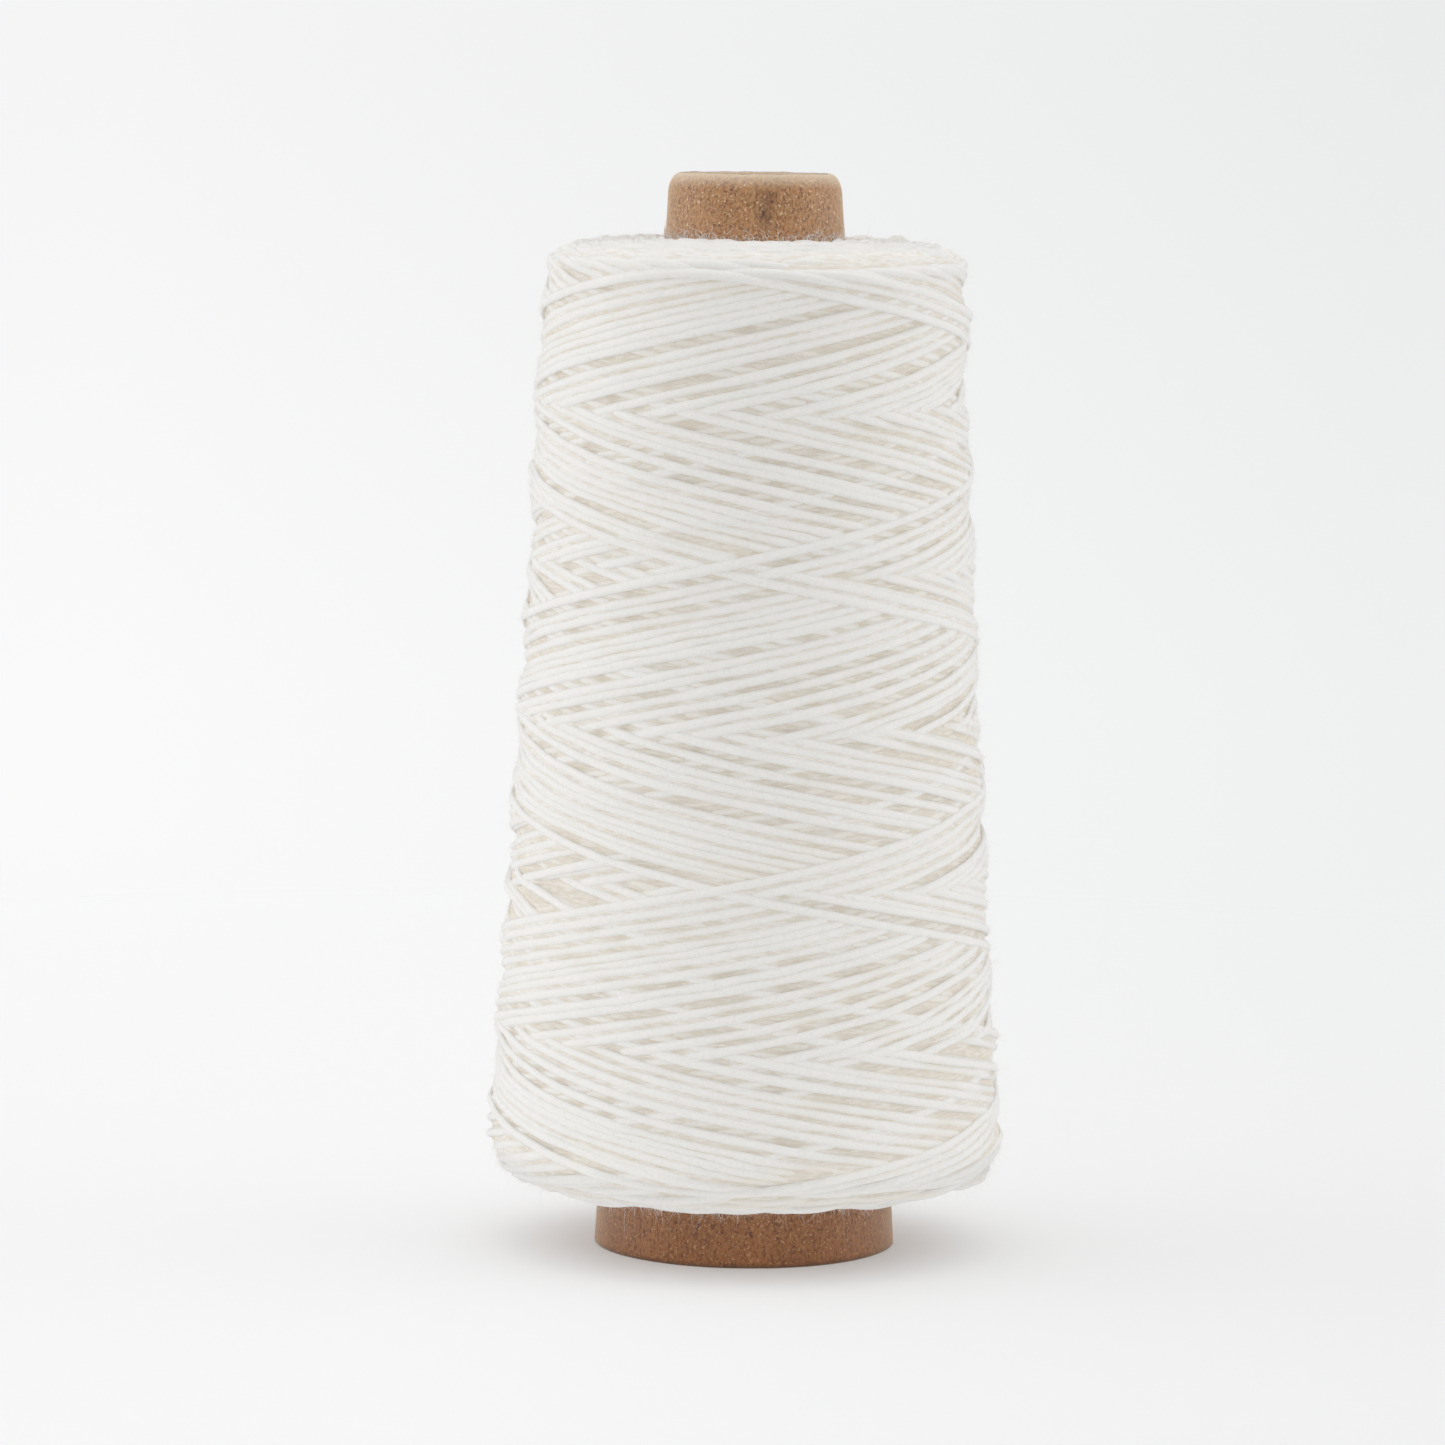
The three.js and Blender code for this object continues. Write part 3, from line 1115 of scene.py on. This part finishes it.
def stage_floor():
    """A pale floor, with painted light falloff to the right, that fades away, well clear of the
    part, into the surroundings.
    """
    nodes = Material("pale_floor")
    place = nodes.place()
    far = nodes.node("ShaderNodeVectorMath", {"operation": "LENGTH"}, Vector=place)
    across = nodes.node("ShaderNodeSeparateXYZ", Vector=place).outputs["X"]
    # Painted light falloff: the floor's colour darker towards the right.
    painted_falloff_right = nodes.ramp(across, -0.05, 0.11)
    nodes.shade({
        "Base Color": nodes.mix(painted_falloff_right, colour(0.75, 0.75, 0.755), colour(0.69, 0.695, 0.695)),
        # The floor glows faintly, standing in for fill light that lifts the shadows round the part.
        "Emission Color": colour(1.0, 1.0, 1.0),
        "Emission Strength": 0.2,
        "Roughness": 0.7,
        "Specular IOR Level": 0.1,
    })
    clear = nodes.node("ShaderNodeBsdfTransparent")
    faded = nodes.ramp(far.outputs["Value"], *FLOOR_FADE)
    nodes.blend_shaders(faded, nodes.shader, clear, "Material Output")
    bpy.ops.mesh.primitive_circle_add(vertices=128, radius=FLOOR_RADIUS, fill_type="NGON")
    floor = bpy.context.object
    floor.name = "studio_floor"
    floor.data.materials.append(nodes.material)


def stage_surroundings():
    """A white tent, brightest overhead and at the sides, dimmer in front and behind.

    The camera sees a pale background instead of the tent, painted darker right and high as light
    falloff.
    """
    world = bpy.data.worlds.new("white_tent")
    world.use_nodes = True
    nodes = Nodes(world.node_tree)
    direction = nodes.node("ShaderNodeTexCoord").outputs["Generated"]
    across, away, up = nodes.node("ShaderNodeSeparateXYZ", Vector=direction).outputs
    front = nodes.ramp(nodes.maths("ABSOLUTE", away), 0.1, 0.85, 0.0, FRONT_DIM)
    overhead = nodes.ramp(up, 0.0, 1.0, 0.0, OVERHEAD_LIFT)
    left = nodes.ramp(across, -1.0, 1.0, LEFT_LIFT, -LEFT_LIFT)
    lifts = nodes.maths("ADD", overhead, left)
    level = nodes.maths("ADD", nodes.maths("SUBTRACT", TENT_LEVEL, front), lifts)
    tent = nodes.node("ShaderNodeBackground", Color=colour(1.0, 1.0, 1.0), Strength=level)
    # Painted light falloff: the backdrop darker towards the right and a little darker above the
    # horizon.
    pale = nodes.mix(nodes.ramp(across, -0.1, 0.1), PALE_LEFT, PALE_RIGHT)
    shade = nodes.ramp(up, -0.1, 0.0, 1.0, BACKDROP_TOP)
    backdrop = nodes.node("ShaderNodeBackground", Color=pale, Strength=shade)
    seen = nodes.node("ShaderNodeLightPath").outputs["Is Camera Ray"]
    nodes.blend_shaders(seen, tent, backdrop, "World Output")
    bpy.context.scene.world = world


def softbox(name, place, size, power):
    """A square area light aimed at the middle of the part."""
    light = bpy.data.lights.new(name, "AREA")
    light.shape = "SQUARE"
    light.size = size
    light.energy = power
    lamp = bpy.data.objects.new(name, light)
    lamp.location = place
    middle = Vector((0, 0, CONE_HEIGHT * MM / 2))
    lamp.rotation_euler = (middle - Vector(place)).to_track_quat("-Z", "Y").to_euler()
    bpy.context.scene.collection.objects.link(lamp)


def stage_lights():
    """A large faint box above and a smaller, stronger one at each side."""
    softbox("top_box", (0.0, 0.1, 1.3), size=1.2, power=0.45)
    softbox("left_box", (-1.2, 0.15, 0.08), size=0.7, power=1.1)
    softbox("right_box", (1.2, 0.15, 0.08), size=0.7, power=1.1)


def stage_camera():
    """A long lens at nose height, looking slightly down, with the part a little right of centre."""
    distance = 1.0
    eye = Vector((0, -distance, 0.188))
    target = Vector((-0.0042, 0, 0.0832))
    roll = math.radians(0.62)
    frame_width = 0.2277
    camera = bpy.data.cameras.new("studio_camera")
    camera.sensor_width = 36
    camera.lens = camera.sensor_width * distance / frame_width
    holder = bpy.data.objects.new("studio_camera", camera)
    turn = (target - eye).to_track_quat("-Z", "Y").to_matrix().to_4x4()
    holder.matrix_world = Matrix.Translation(eye) @ turn @ Matrix.Rotation(roll, 4, "Z")
    bpy.context.scene.collection.objects.link(holder)
    bpy.context.scene.camera = holder


def stage_view():
    """Plain colours, and enough bounces for the light to reach the creases."""
    scene = bpy.context.scene
    scene.view_settings.view_transform = "Standard"
    scene.cycles.max_bounces = 16
    scene.cycles.diffuse_bounces = 8


# ---- the part

MOST_FACES = 185000
FUZZ_PIECES, FUZZ_FIBRES = 3, 18000
NAP_PIECES, NAP_FIBRES = 2, 45000
FRINGE_FIBRES = 4000
NOSE_LINT, BASE_LINT = 520, 1700


def fit(piece, node):
    """Rides a piece on the part, and hides the frame's node that it stands for."""
    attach(piece, "root")
    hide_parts(node)


def fit_yarn(piece):
    """Fits a piece of the yarn."""
    fit(piece, "yarn_package")


def fit_strands(frames, samples, owner, level):
    """The strands in view, cut between runs into pieces of nearly even size."""
    material = cotton_strand()
    pieces = math.ceil(len(samples) * SIDES * 2 / MOST_FACES)
    cuts = owner[np.linspace(0, len(owner) - 1, pieces + 1).astype(int)]
    bounds = np.append(np.searchsorted(owner, cuts[:-1]), len(owner))
    for number in range(pieces):
        part = slice(bounds[number], bounds[number + 1])
        own = owner[part] - owner[part][0]
        name = f"yarn_turns_{number + 1}"
        fit_yarn(strand_piece(name, frames, samples[part], own, level, material))


def fit_fibres(frames, samples, level, rng):
    """Long fuzz and short nap all over the yarn, a fringe at its foot, lint at both its ends."""
    fuzz = cotton_fibre("cotton_fuzz", 0.5)
    loose = cotton_fibre("cotton_lint", 0.1)
    outer = samples[level.depth(frames["place"][samples]) < 0.75]
    at_foot = outer[frames["place"][outer][:, 2] < STROKE_BOTTOM + 5]
    for number in range(FUZZ_PIECES):
        name = f"yarn_fuzz_{number + 1}"
        fit_yarn(yarn_fuzz(name, frames, outer, fuzz, rng, FUZZ_FIBRES, spread=0.3, joints=2))
    for number in range(NAP_PIECES):
        name = f"yarn_nap_{number + 1}"
        fit_yarn(yarn_fuzz(name, frames, outer, fuzz, rng, NAP_FIBRES, spread=0.13, joints=1))
    fringe = {"count": FRINGE_FIBRES, "spread": 0.42, "joints": 2, "fall": 1.2}
    fit_yarn(yarn_fuzz("yarn_fringe", frames, at_foot, loose, rng, **fringe))
    fit_yarn(lint("lint_on_nose", STROKE_TOP, 1, loose, rng, NOSE_LINT))
    fit_yarn(lint("lint_on_base", STROKE_BOTTOM, -1, loose, rng, BASE_LINT))


def build_yarn():
    """Winds the package and makes the pieces that show."""
    rng = np.random.default_rng(SEED)
    strand, surface = wind(rng)
    growth = growth_table(surface)
    level = Level(surface, growth)
    starts, ends = runs_in_view(strand, surface, level)
    radius = settle(strand["radius"], strand["z"], strand["column"], growth)
    on_paper = cone_radius(strand["z"]) + STRAND_HEIGHT / 2
    strand["radius"] = np.maximum(tucked(radius), on_paper)
    frames = strand_frames(strand, rng)
    samples, owner = samples_of_runs(strand, starts, ends)
    fit_yarn(buried_layers(level, growth, matted_cotton()))
    fit_strands(frames, samples, owner, level)
    fit_fibres(frames, samples, level, rng)


def build_cone():
    """Makes the paper cone."""
    cone = paper_cone(kraft_board(), np.random.default_rng(SEED))
    fit(cone, "paper_cone")


stage_camera()
stage_view()
stage_surroundings()
stage_lights()
stage_floor()
build_yarn()
build_cone()
